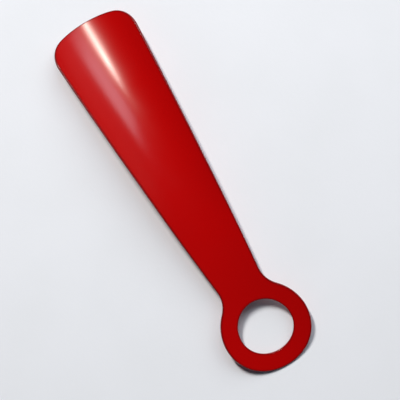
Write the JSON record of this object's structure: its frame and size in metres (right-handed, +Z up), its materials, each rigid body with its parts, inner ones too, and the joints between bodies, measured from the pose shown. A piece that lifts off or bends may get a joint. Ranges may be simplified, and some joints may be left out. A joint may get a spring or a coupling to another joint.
{
  "type": "shoehorn",
  "caption": "Short hand shoehorn pressed from one painted steel sheet: a tapering trough blade with a round lip, a slim neck and a finger ring.",
  "frame": {"origin": "middle of the footprint, on the surface that the shoehorn lies on: it rests on the lip's middle and on the ring's tip, with the trough open upwards", "axes": "+X along the length, from the blade's lip to the finger ring; +Y across the blade; +Z up, out of the trough's open side"},
  "size_m": [0.1808, 0.0412, 0.0157],
  "materials": {
    "red_paint": "half-gloss red enamel or powder coat"
  },
  "bodies": {
    "root": {"pressed_sheet": "red_paint"}
  },
  "joints": []
}
